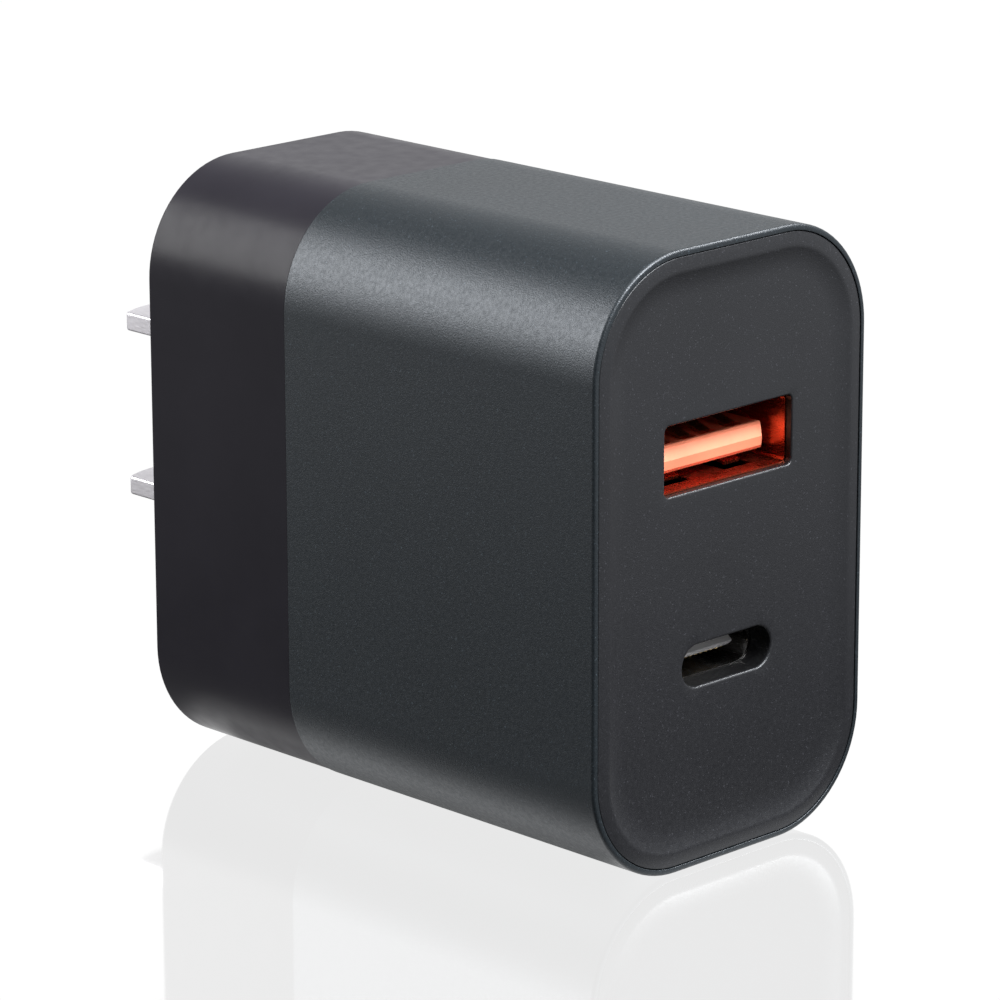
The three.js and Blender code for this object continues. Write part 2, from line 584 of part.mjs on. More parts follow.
function portBoard() {
  const { x: halfWidth, y0, y1, z0, z1 } = PORT_BOARD;
  const through = (x0, x1, low, high) => block(x0, x1, y0 - 1, y1 + 1, low, high);
  const half = PIN_HOLE / 2;
  const headerHoles = headerRows.map((z) => through(HEADER_X - half, HEADER_X + half, z - half, z + half));
  const contactHoles = USB_A_PINS.map((x) => through(x - 0.7, x + 0.7, TONGUE_A.top - 0.5, TONGUE_A.top + 0.4));
  const seats = [[USB_A_INNER, USB_A_Z], [USB_C_INNER, USB_C_SEAT_Z]];
  const tabHoles = seats.flatMap(([size, z]) => [-1, 1].map((side) => (
    mirroredX(through(size.width / 2 - 0.3, size.width / 2 + SHELL + 0.3, z - 1.2, z + 1.2), side))));
  return cut(block(-halfWidth, halfWidth, y0, y1, z0, z1), ...headerHoles, ...contactHoles, ...tabHoles);
}

piece('main_board', mainBoard(), 'board');
piece('port_board', portBoard(), 'board');
piece('port_controller_chip', block(0, 4, PORT_BOARD.y1 + REST_GAP, -12.4, 19.5, 23.5), 'blackPlastic');
piece('output_inductor', block(4.8, 9.2, PORT_BOARD.y1 + REST_GAP, -9.8, 21.6, 26), 'ferrite');

const SPREADER = { x: 9.9, thick: 0.4, y0: -12.2, y1: 10.4, z0: 10, z1: 33.4, lip: 1.6 };

// Aluminium sheet with its upper and lower edges folded inwards.
function heatSpreader() {
  const { x, thick, y0, y1, z0, z1, lip } = SPREADER;
  const line = [[x - lip, z0], [x, z0], [x, z1], [x - lip, z1]];
  return alongY(stripShape(line, thick), y0, y1);
}

piece('heat_spreader', heatSpreader(), 'aluminium');
const padTop = SPREADER.x - SPREADER.thick / 2 - REST_GAP;
piece('thermal_pad', block(CORE_TOP + REST_GAP, padTop, -6.5, 4.5, 15.7, 27.7), 'padGrey');
piece('insulating_sheet', block(-10.4, -10.15, -12.2, 10.6, 7.5, 35.9), 'whiteSheet');

charger.position.y = -(FRONT + BLADE_TIP) / 2;

export default charger;
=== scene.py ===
"""Visual model of a two-outlet USB wall charger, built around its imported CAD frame.

Lengths named in this script are millimetres, and meshes are scaled to metres as they are made.
"""
import json
import math

import bmesh
import bpy
from mathutils import Matrix, Vector
from mathutils.geometry import delaunay_2d_cdt


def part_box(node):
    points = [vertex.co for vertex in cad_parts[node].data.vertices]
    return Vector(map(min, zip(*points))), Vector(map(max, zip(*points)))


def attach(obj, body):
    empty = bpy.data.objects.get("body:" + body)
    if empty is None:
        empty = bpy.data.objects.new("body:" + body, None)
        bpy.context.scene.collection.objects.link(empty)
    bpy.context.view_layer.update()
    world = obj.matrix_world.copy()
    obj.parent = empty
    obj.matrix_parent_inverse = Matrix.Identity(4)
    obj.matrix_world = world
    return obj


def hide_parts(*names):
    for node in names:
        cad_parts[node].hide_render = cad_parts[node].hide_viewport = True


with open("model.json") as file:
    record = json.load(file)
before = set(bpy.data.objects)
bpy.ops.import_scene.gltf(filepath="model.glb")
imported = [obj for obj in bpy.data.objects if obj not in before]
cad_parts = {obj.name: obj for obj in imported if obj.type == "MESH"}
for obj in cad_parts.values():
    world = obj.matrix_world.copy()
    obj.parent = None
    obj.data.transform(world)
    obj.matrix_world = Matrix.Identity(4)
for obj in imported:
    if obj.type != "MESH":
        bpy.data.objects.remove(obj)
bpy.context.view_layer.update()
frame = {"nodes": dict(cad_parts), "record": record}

MM = 0.001


def corners(node):
    """A CAD node's lowest and highest corner, in millimetres."""
    low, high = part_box(node)
    return low / MM, high / MM


# ---- sizes taken from the frame ---------------------------------------------------------------

SLEEVE_LOW, SLEEVE_HIGH = corners("main_sleeve")
COVER_LOW, COVER_HIGH = corners("rear_cover")
WIDTH = SLEEVE_HIGH.x - SLEEVE_LOW.x
HEIGHT = SLEEVE_HIGH.z - SLEEVE_LOW.z
FRONT = SLEEVE_LOW.y
JOINT = SLEEVE_HIGH.y
REAR = COVER_HIGH.y
MID = (SLEEVE_LOW.z + SLEEVE_HIGH.z) / 2
AIM_DEPTH = 22.1
BODY_CENTRE = Vector((0, FRONT + AIM_DEPTH, MID))

# Body, in section a rounded rectangle.
CORNER = 8.1
WALL = 1.6
SEAM = 0.03
SEAM_EDGE = 0.04
CORNER_STEPS = 20
OUTLET_STEPS = 10
RIM_LIP = 0.05

# Mouth of the sleeve and the panel in it.
RIM = 0.45
RIM_FILLET = 0.25
GROOVE = 0.05
PANEL = 1.5
PANEL_FILLET = 0.08
RIM_FALL = 0.05
BAND_FALL = 0.09
BAND_STEPS = 6
DISH_INSET = 1.5
DISH_SLOPE = 1.9
DISH_DEPTH = 0.35
DISH_STEPS = 12
FLOOR = FRONT + DISH_DEPTH
FLOOR_PITCH = 0.7
PANEL_BACK = FRONT + PANEL

# Outlets.
USB_A = {"width": 12.5, "height": 4.9, "radius": 0.45, "z": 29.0}
USB_A_SEAT = {"width": 13.1, "height": 5.5, "radius": 0.8, "z": 29.0}
USB_A_LEDGE = 0.55
USB_C = {"width": 8.8, "height": 3.0, "radius": 1.49, "z": 14.2}
USB_C_COLLAR = 0.75
COLLAR_WALL = 0.9
OUTLET_FILLET = 0.16
OUTLET_FILLET_STEPS = 4

# Rear cover.
COVER_INSET = 0.05
COVER_FILLET = 0.16
REAR_WALL = 1.8
SPIGOT_FRONT = COVER_LOW.y
SPIGOT_INSET = 1.7
SPIGOT_INNER = 2.8
SPIGOT_ROOT = JOINT + 3.0

# Blades.
BLADE_NAMES = ("upper_blade", "lower_blade")
BLADE_LOW, BLADE_HIGH = corners("upper_blade")
BLADE_WIDTH = BLADE_HIGH.x - BLADE_LOW.x
BLADE_EDGE = 0.17
BLADE_CORNER = 0.5
BLADE_CROWN = 7.1
BLADE_EDGE_STEPS = 5
BLADE_CORNER_STEPS = 6
BLADE_CROWN_STEPS = 8
SLOT_GAP = 0.06
SLOT_MOUTH = 0.12
SLOT_STEPS = 4

# Meshes.
WELD = 1e-6
SHARP_ANGLE = math.radians(35)
BEVEL_ANGLE = math.radians(30)
GRID_MARGIN = 0.6


# ---- outlines and rings -----------------------------------------------------------------------

def rounded_rect(width, height, radius, z=MID, steps=CORNER_STEPS):
    """Points (x, z) round a rounded rectangle, anticlockwise from its right side."""
    half_x, half_z = width / 2 - radius, height / 2 - radius
    points = []
    for quarter, (side_x, side_z) in enumerate(((1, 1), (-1, 1), (-1, -1), (1, -1))):
        for step in range(steps + 1):
            angle = (quarter + step / steps) * math.pi / 2
            points.append((side_x * half_x + radius * math.cos(angle),
                           z + side_z * half_z + radius * math.sin(angle)))
    return points


def body_outline(inset):
    return rounded_rect(WIDTH - 2 * inset, HEIGHT - 2 * inset, CORNER - inset)


def outlet_outline(outlet, grow=0.0):
    return rounded_rect(outlet["width"] + 2 * grow, outlet["height"] + 2 * grow,
                        outlet["radius"] + grow, outlet["z"], OUTLET_STEPS)


def at_y(points, y):
    return [(x, y, z) for x, z in points]


def body_rings(profile):
    """Rings round the body from a profile of (inset, y) pairs."""
    return [at_y(body_outline(inset), y) for inset, y in profile]


def quarter_turn(steps):
    """Angles from 0 to a right angle, in radians."""
    return [math.pi / 2 * i / steps for i in range(steps + 1)]


def arc(centre, radius, start, end, steps):
    """Points on an arc in a profile's (inset, y) plane, angles in degrees."""
    angles = [math.radians(start + (end - start) * i / steps) for i in range(steps + 1)]
    return [(centre[0] + radius * math.cos(a), centre[1] + radius * math.sin(a)) for a in angles]


# ---- mesh building ----------------------------------------------------------------------------

def loft(rings, around=False):
    """Quads between successive rings of equal length. around joins the last ring to the first."""
    count = len(rings[0])
    vertices = [point for ring in rings for point in ring]
    pairs = len(rings) if around else len(rings) - 1
    faces = []
    for i in range(pairs):
        a, b = i * count, (i + 1) % len(rings) * count
        faces += [(a + j, a + (j + 1) % count, b + (j + 1) % count, b + j) for j in range(count)]
    return vertices, faces


def cap(ring):
    return list(ring), [tuple(range(len(ring)))]


def inside(point, polygon):
    """True if a point (x, z) lies inside a polygon of (x, z) points."""
    x, z = point
    odd = False
    for (x0, z0), (x1, z1) in zip(polygon, polygon[1:] + polygon[:1]):
        if (z0 > z) != (z1 > z) and x < x0 + (z - z0) * (x1 - x0) / (z1 - z0):
            odd = not odd
    return odd


def flat_sheet(outer, holes, y, pitch=None):
    """Triangles that fill outer except its holes, at height y, with a grid of inner points."""
    loops = [outer, *holes]
    points = [Vector(p) for loop in loops for p in loop]
    edges, first = [], 0
    for loop in loops:
        count = len(loop)
        edges += [(first + i, first + (i + 1) % count) for i in range(count)]
        first += count
    if pitch:
        xs, zs = [p[0] for p in outer], [p[1] for p in outer]
        margin = pitch * GRID_MARGIN
        near = [Vector(p) for loop in loops for p in loop]
        for i in range(1, int((max(xs) - min(xs)) / pitch)):
            for j in range(1, int((max(zs) - min(zs)) / pitch)):
                spot = Vector((min(xs) + i * pitch, min(zs) + j * pitch))
                if not inside(spot, outer) or any(inside(spot, hole) for hole in holes):
                    continue
                if min((spot - p).length_squared for p in near) > margin ** 2:
                    points.append(spot)
    found, _, triangles, *_ = delaunay_2d_cdt(points, edges, [], 0, 1e-6)
    kept = []
    for triangle in triangles:
        middle = sum((found[i] for i in triangle), Vector((0, 0))) / 3
        if inside(middle, outer) and not any(inside(middle, hole) for hole in holes):
            kept.append(tuple(triangle))
    return [(p.x, y, p.y) for p in found], kept


def build(name, parts, material):
    """One mesh object from parts given as (vertices, faces) in millimetres."""
    mesh = bpy.data.meshes.new(name)
    shape = bmesh.new()
    for vertices, faces in parts:
        made = [shape.verts.new(Vector(p) * MM) for p in vertices]
        for face in faces:
            shape.faces.new([made[i] for i in face])
    bmesh.ops.remove_doubles(shape, verts=shape.verts, dist=WELD)
    loose = [v for v in shape.verts if not v.link_faces]
    bmesh.ops.delete(shape, geom=loose, context="VERTS")
    bmesh.ops.recalc_face_normals(shape, faces=shape.faces)
    for face in shape.faces:
        face.smooth = True
    shape.to_mesh(mesh)
    shape.free()
    mesh.set_sharp_from_angle(angle=SHARP_ANGLE)
    mesh.materials.append(material)
    obj = bpy.data.objects.new(name, mesh)
    bpy.context.scene.collection.objects.link(obj)
    return obj


def weigh_normals(obj):
    obj.modifiers.new("weighted_normals", "WEIGHTED_NORMAL").keep_sharp = True


def stand_for(obj, node):
    weigh_normals(obj)
    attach(obj, "root")
    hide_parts(node)
    return obj


# ---- materials --------------------------------------------------------------------------------

def set_range(node, start, end, low, high):
    """Makes a Map Range node turn start to end into low to high."""
    for socket, number in (("From Min", start), ("From Max", end), ("To Min", low), ("To Max", high)):
        node.inputs[socket].default_value = number


class Surface:
    """A Principled material whose colour, roughness and bump vary with procedural textures."""

    def __init__(self, name, color, roughness, metallic=0.0, **constants):
        self.material = bpy.data.materials.new(name)
        self.material.use_nodes = True
        self.tree = self.material.node_tree
        self.shader = self.tree.nodes["Principled BSDF"]
        self.color = color
        self.roughness = roughness
        self.set("Base Color", (*color, 1))
        self.set("Roughness", roughness)
        self.set("Metallic", metallic)
        for socket, value in constants.items():
            self.set(socket.replace("_", " ").title().replace("Ior", "IOR"), value)
        self.place = self.node("ShaderNodeTexCoord").outputs["Object"]
        self.height = None

    def set(self, socket, value):
        self.shader.inputs[socket].default_value = value

    def node(self, kind, **settings):
        made = self.tree.nodes.new(kind)
        for key, value in settings.items():
            setattr(made, key, value)
        return made

    def link(self, output, target):
        self.tree.links.new(output, target)

    def noise(self, size, detail=2.0, rough=0.5, stretch=None, seed=0.0):
        """Noise whose features are about size millimetres across; stretch scales them along X, Y, Z."""
        place = self.place
        if stretch or seed:
            mapping = self.node("ShaderNodeMapping")
            mapping.inputs["Scale"].default_value = [1 / s for s in (stretch or (1, 1, 1))]
            mapping.inputs["Location"].default_value = (seed, seed * 0.7, seed * 1.3)
            self.link(place, mapping.inputs["Vector"])
            place = mapping.outputs["Vector"]
        noise = self.node("ShaderNodeTexNoise")
        noise.inputs["Scale"].default_value = 1 / (size * MM)
        noise.inputs["Detail"].default_value = detail
        noise.inputs["Roughness"].default_value = rough
        self.link(place, noise.inputs["Vector"])
        return noise.outputs["Fac"]

    def cells(self, size):
        voronoi = self.node("ShaderNodeTexVoronoi")
        voronoi.inputs["Scale"].default_value = 1 / (size * MM)
        self.link(self.place, voronoi.inputs["Vector"])
        return voronoi.outputs["Distance"]

    def depth(self):
        """Position along Y, towards the back of the charger."""
        split = self.node("ShaderNodeSeparateXYZ")
        self.link(self.place, split.inputs[0])
        return split.outputs["Y"]

    def remap(self, value, low, high, start=0.3, end=0.7):
        ramp = self.node("ShaderNodeMapRange")
        set_range(ramp, start, end, low, high)
        self.link(value, ramp.inputs["Value"])
        return ramp.outputs["Result"]

    def tint(self, value, other, start=0.3, end=0.7):
        """Shifts the colour towards other where value is high."""
        mix = self.node("ShaderNodeMix", data_type="RGBA")
        self.link(self.remap(value, 0, 1, start, end), mix.inputs["Factor"])
        current = self.shader.inputs["Base Color"]
        if current.is_linked:
            self.link(current.links[0].from_socket, mix.inputs["A"])
        else:
            mix.inputs["A"].default_value = (*self.color, 1)
        mix.inputs["B"].default_value = (*other, 1)
        self.link(mix.outputs["Result"], current)
        return self

    def vary_roughness(self, value, low, high, start=0.3, end=0.7):
        self.link(self.remap(value, low, high, start, end), self.shader.inputs["Roughness"])
        return self

    def emboss(self, value, depth, invert=False):
        """Adds value as relief, depth millimetres high."""
        bump = self.node("ShaderNodeBump", invert=invert)
        bump.inputs["Strength"].default_value = 1.0
        bump.inputs["Distance"].default_value = depth * MM
        self.link(value, bump.inputs["Height"])
        if self.height:
            self.link(self.height, bump.inputs["Normal"])
        self.height = bump.outputs["Normal"]
        self.link(self.height, self.shader.inputs["Normal"])
        return self


def scaled(color, factor):
    return tuple(min(1.0, c * factor) for c in color)


def spark_texture(name, color, sheen, specks, relief):
    """Moulded plastic from a spark-eroded mould: a fine grain of shallow pits, with a few pale specks."""
    surface = Surface(name, color, 0.38, specular_ior_level=0.55, specular_tint=(*sheen, 1))
    surface.tint(surface.noise(9, detail=1), scaled(color, 0.9), 0.35, 0.7)
    surface.tint(surface.noise(0.14, detail=1, seed=3), scaled(color, specks), 0.67, 0.77)
    surface.vary_roughness(surface.noise(0.3, detail=2, seed=1), 0.34, 0.46)
    surface.emboss(surface.noise(0.085, detail=2, rough=0.6), relief)
    surface.emboss(surface.cells(0.12), relief / 2, invert=True)
    return surface


def textured_shell():
    surface = spark_texture("textured_shell", (0.0098, 0.0132, 0.0160), (0.87, 0.925, 1.0), 4.0, 0.013)
    return surface.material


def textured_face():
    """The panel's grain is fainter, and the walls of its openings are darker with painted shade."""
    surface = spark_texture("textured_face", (0.0110, 0.0113, 0.0134), (0.91, 0.955, 1.0), 3.2, 0.011)
    # Painted shade: faces deeper than the openings' rounded edges, which are their walls and the panel's
    # back, are tinted near black for the shade inside the openings.
    start, end = (FLOOR + OUTLET_FILLET) * MM, (FLOOR + OUTLET_FILLET + 0.1) * MM
    surface.tint(surface.depth(), (0.003, 0.003, 0.0033), start, end)
    return surface.material


def smooth_cover():
    """Smoother moulded plastic with a polished look and very slight waviness."""
    color = (0.0176, 0.0165, 0.0212)
    surface = Surface("smooth_cover", color, 0.31, ior=1.25, specular_ior_level=0.37)
    surface.tint(surface.noise(6, detail=2), scaled(color, 1.12))
    surface.vary_roughness(surface.noise(1.2, detail=3), 0.28, 0.35)
    surface.emboss(surface.noise(0.1, detail=2), 0.0008)
    surface.emboss(surface.noise(7, detail=1, seed=2), 0.002)
    return surface.material


def metal(name, color, roughness, along=(1, 12, 1), grain=0.06, depth=0.0015):
    """Drawn or rolled metal with fine lines along one direction and soft staining."""
    surface = Surface(name, color, roughness, 1.0)
    lines = surface.noise(grain, detail=3, stretch=along)
    surface.tint(surface.noise(2.4, detail=3), scaled(color, 0.86))
    surface.vary_roughness(lines, roughness * 0.8, roughness * 1.3)
    surface.emboss(lines, depth)
    return surface.material


def moulded(name, color, roughness, grain=0.14, depth=0.004, **constants):
    """Plain injection-moulded plastic: slight mottling and a satin grain."""
    surface = Surface(name, color, roughness, **constants)
    surface.tint(surface.noise(3, detail=3), scaled(color, 0.85))
    surface.vary_roughness(surface.noise(0.5, detail=2, seed=1), roughness * 0.85, roughness * 1.2)
    surface.emboss(surface.noise(grain, detail=2), depth)
    return surface.material


MATERIALS = {
    "textured_shell": textured_shell(),
    "textured_face": textured_face(),
    "smooth_cover": smooth_cover(),
    "nickel_plate": metal("nickel_plate", (0.84, 0.82, 0.86), 0.42),
    "shell_steel": metal("shell_steel", (0.40, 0.39, 0.38), 0.22),
    # Steel painted orange: a painted reflection of the orange tongue's light on the USB-A shell.
    "orange_reflection_steel": metal("orange_reflection_steel", (0.55, 0.11, 0.055), 0.28),
    "orange_plastic": moulded("orange_plastic", (0.96, 0.29, 0.165), 0.42, depth=0.002),
    "grey_plastic": moulded("grey_plastic", (0.86, 0.86, 0.88), 0.35, depth=0.002),
    "black_plastic": moulded("black_plastic", (0.012, 0.012, 0.013), 0.45),
    "contact_metal": metal("contact_metal", (0.60, 0.45, 0.22), 0.3),
    "circuit_board": moulded("circuit_board", (0.013, 0.10, 0.04), 0.4),
    "ferrite": moulded("ferrite", (0.028, 0.029, 0.032), 0.6, grain=0.1, depth=0.012),
    "copper_wire": metal("copper_wire", (0.62, 0.22, 0.07), 0.3),
    "yellow_tape": moulded("yellow_tape", (0.70, 0.45, 0.05), 0.4),
    "can_sleeve": moulded("can_sleeve", (0.018, 0.02, 0.026), 0.3),
    "blue_coat": moulded("blue_coat", (0.025, 0.11, 0.40), 0.35),
    "yellow_case": moulded("yellow_case", (0.68, 0.43, 0.06), 0.45),
    "fuse_case": moulded("fuse_case", (0.13, 0.04, 0.018), 0.4),
    "white_sheet": moulded("white_sheet", (0.72, 0.70, 0.64), 0.55),
    "pad_grey": moulded("pad_grey", (0.26, 0.31, 0.37), 0.85, depth=0.015),
    "aluminium": metal("aluminium", (0.60, 0.61, 0.62), 0.38),
}


# ---- main sleeve ------------------------------------------------------------------------------

def main_sleeve():
    edge = SEAM_EDGE
    mouth = FRONT + RIM_FALL
    profile = [
        (0, JOINT - edge),
        *arc((RIM_FILLET, mouth + RIM_FILLET), RIM_FILLET, 180, 270, 7),
        *arc((RIM - RIM_LIP, mouth + RIM_LIP), RIM_LIP, 270, 360, 3),
        (RIM, PANEL_BACK + RIM_LIP),
        (WALL, PANEL_BACK + RIM_LIP),
        (WALL, JOINT),
        *arc((edge, JOINT - edge), edge, 90, 180, 4)[:-1],
    ]
    return build("main_sleeve_skin", [loft(body_rings(profile), around=True)], MATERIALS["textured_shell"])


# ---- front panel ------------------------------------------------------------------------------

def outlet_mouth(outlet, depth):
    """Rings from the rounded edge of an outlet's opening down its wall to depth."""
    edge = [(OUTLET_FILLET * (1 - math.sin(a)), FLOOR + OUTLET_FILLET * (1 - math.cos(a)))
            for a in quarter_turn(OUTLET_FILLET_STEPS)]
    return [at_y(outlet_outline(outlet, grow), y) for grow, y in [*edge, (0, depth)]]


def front_panel():
    outer = RIM + GROOVE
    brim = FRONT + BAND_FALL
    flat = outer + PANEL_FILLET
    band = [(flat + (DISH_INSET - flat) * t, brim - BAND_FALL * (1 - (1 - t) ** 2))
            for t in (i / BAND_STEPS for i in range(1, BAND_STEPS))]
    slope = [(DISH_INSET + DISH_SLOPE * t, FRONT + DISH_DEPTH * (1 - (1 - t) ** 2))
             for t in (i / DISH_STEPS for i in range(DISH_STEPS + 1))]
    profile = [
        (outer, PANEL_BACK),
        *arc((flat, brim + PANEL_FILLET), PANEL_FILLET, 180, 270, 4),
        *band,
        *slope,
    ]
    face = loft(body_rings(profile))
    holes = [outlet_outline(outlet, OUTLET_FILLET) for outlet in (USB_A, USB_C)]
    floor = flat_sheet(body_outline(DISH_INSET + DISH_SLOPE), holes, FLOOR, pitch=FLOOR_PITCH)
    collar_end = PANEL_BACK + USB_C_COLLAR
    collar = outlet_outline(USB_C, COLLAR_WALL)
    ledge_back = FLOOR + USB_A_LEDGE
    seat = outlet_outline(USB_A_SEAT)
    back = flat_sheet(body_outline(outer), [seat, collar], PANEL_BACK)
    parts = [
        face, floor, back,
        loft([*outlet_mouth(USB_A, ledge_back), at_y(seat, ledge_back), at_y(seat, PANEL_BACK)]),
        loft([*outlet_mouth(USB_C, collar_end), at_y(collar, collar_end), at_y(collar, PANEL_BACK)]),
    ]
    return build("front_panel_skin", parts, MATERIALS["textured_face"])


# ---- rear cover -------------------------------------------------------------------------------

def blade_slot(node, grow=0.0):
    low, high = corners(node)
    width, height = high.x - low.x + 2 * grow, high.z - low.z + 2 * grow
    return rounded_rect(width, height, BLADE_EDGE + grow, (low.z + high.z) / 2, SLOT_STEPS)


def rear_cover():
    edge = SEAM_EDGE
    front = JOINT + SEAM
    inner = REAR - REAR_WALL
    profile = [
        (WALL, inner),
        (WALL, SPIGOT_ROOT),
        (SPIGOT_INNER, SPIGOT_ROOT),
        (SPIGOT_INNER, SPIGOT_FRONT),
        (SPIGOT_INSET, SPIGOT_FRONT),
        (SPIGOT_INSET, front),
        *arc((COVER_INSET + edge, front + edge), edge, 270, 180, 3),
        *arc((COVER_INSET + COVER_FILLET, REAR - COVER_FILLET), COVER_FILLET, 180, 90, 8),
    ]
    slots = [blade_slot(node, SLOT_GAP + SLOT_MOUTH) for node in BLADE_NAMES]
    narrow = [blade_slot(node, SLOT_GAP) for node in BLADE_NAMES]
    parts = [
        loft(body_rings(profile)),
        flat_sheet(body_outline(COVER_INSET + COVER_FILLET), slots, REAR),
        flat_sheet(body_outline(WALL), narrow, inner),
    ]
    for wide, tight in zip(slots, narrow):
        parts.append(loft([at_y(wide, REAR), at_y(tight, REAR - SLOT_MOUTH), at_y(tight, inner)]))
    return build("rear_cover_skin", parts, MATERIALS["smooth_cover"])


# ---- blades -----------------------------------------------------------------------------------

def blade_plan(low, high, inset):
    """Points (x, y) round a blade seen from above: square tail, rounded corners and crowned tip."""
    half, corner, crown = BLADE_WIDTH / 2 - inset, BLADE_CORNER - inset, BLADE_CROWN - inset
    hub = high.y - BLADE_CROWN
    turn = math.asin((half - corner) / (crown - corner))
    corner_y = hub + math.sqrt((crown - corner) ** 2 - (half - corner) ** 2)
    right = [(half, low.y + inset)]
    for i in range(BLADE_CORNER_STEPS + 1):
        angle = (math.pi / 2 - turn) * i / BLADE_CORNER_STEPS
        right.append((half - corner + corner * math.cos(angle), corner_y + corner * math.sin(angle)))
    for i in range(1, BLADE_CROWN_STEPS + 1):
        angle = turn * (1 - i / BLADE_CROWN_STEPS)
        right.append((crown * math.sin(angle), hub + crown * math.cos(angle)))
    return right + [(-x, y) for x, y in reversed(right[:-1])]


def blade(node):
    low, high = corners(node)
    rise = [(BLADE_EDGE * (1 - math.sin(a)), BLADE_EDGE * (1 - math.cos(a)))
            for a in quarter_turn(BLADE_EDGE_STEPS)]
    levels = [(inset, low.z + step) for inset, step in rise]
    levels += [(inset, high.z - step) for inset, step in reversed(rise)]
    rings = [[(x, y, z) for x, y in blade_plan(low, high, inset)] for inset, z in levels]
    return build(f"{node}_metal", [loft(rings), cap(rings[0]), cap(rings[-1])], MATERIALS["nickel_plate"])


stand_for(main_sleeve(), "main_sleeve")
stand_for(front_panel(), "front_panel")
stand_for(rear_cover(), "rear_cover")
for blade_node in BLADE_NAMES:
    stand_for(blade(blade_node), blade_node)


# ---- pieces that keep their CAD shape ---------------------------------------------------------

EDGE_ROUNDING = {"usb_a_insulator": 0.1, "usb_a_shell": 0.04, "usb_c_shell": 0.04, "usb_c_insulator": 0.06}
SMALL_EDGE = 0.05
# The USB-A shell takes the orange-painted steel instead of its slot's material, as a painted reflection of
# the tongue.
PAINTED_REFLECTION_INSTEAD = {"usb_a_shell": "orange_reflection_steel"}


def finish_cad_nodes():
    slots = {part["node"]: part["material_slot"] for part in frame["record"]["subparts"]}
    for name, obj in frame["nodes"].items():
        if obj.hide_render:
            continue
        obj.data.materials.clear()
        obj.data.materials.append(MATERIALS[PAINTED_REFLECTION_INSTEAD.get(name, slots[name])])
        bevel = obj.modifiers.new("edges", "BEVEL")
        bevel.width = EDGE_ROUNDING.get(name, SMALL_EDGE) * MM
        bevel.segments = 2
        bevel.limit_method = "ANGLE"
        bevel.angle_limit = BEVEL_ANGLE
        weigh_normals(obj)


finish_cad_nodes()


# ---- stage, lights and camera -----------------------------------------------------------------

STAGE_HALF = 6.0
FLOOR_SEEN = 1.22
FLOOR_MIRROR = 0.35
FLOOR_MIRROR_ROUGHNESS = 0.05
GLOW_EDGE = 10.5
GLOW_SPAN = 100.0
GLOW_START = 0.02
GLOW_END_INSET = 3.0
GLOW_STOPS = ((0.0, 0.4), (0.02, 0.65), (0.033, 1.3), (0.05, 1.15),
              (0.085, 0.28), (0.28, 0.12), (0.58, 0.32), (0.87, 0.46))
AHEAD_START = 28.0
AHEAD_STOPS = ((0.0, 1.0), (0.08, 0.35), (0.3, 0.7), (0.65, 1.3))
CAMERA_SIDE = (-0.702, -0.712, 0.0)
CAMERA_SHADE = 0.15
FLOOR_SHADE_SPAN = (0.6, 0.93)
ROOM_SHADE_SPAN = (0.75, 0.96)
WORLD_STOPS = ((0.0, 0.38), (0.42, 0.38), (0.56, 0.11), (0.8, 0.15), (1.0, 1.9))
BACKDROP_GLOW = 0.42
BACKDROP_SIDE = (0.7, 0.7, 0.14)
BACKDROP_SPAN = (0.78, 0.95)

CAMERA = {"azimuth": -44.602, "elevation": 15.718, "roll": -0.137, "distance": 0.3542}
CAMERA_SENSOR = 36.0
CAMERA_LENS = 180.98
CAMERA_SHIFT = (-0.00183, -0.0111)


def math_node(tree, operation, first, second=None):
    node = tree.nodes.new("ShaderNodeMath")
    node.operation = operation
    for socket, value in zip(node.inputs, (first, second)):
        if isinstance(value, (int, float)):
            socket.default_value = value
        elif value is not None:
            tree.links.new(value, socket)
    return node.outputs[0]


def fill_ramp(ramp, stops):
    """Grey levels along a colour ramp, from pairs of position and level in rising order."""
    ramp.interpolation = "EASE"
    while len(ramp.elements) < len(stops):
        ramp.elements.new(1.0)
    for element, (position, level) in zip(ramp.elements, stops):
        element.position, element.color = position, (level, level, level, 1)


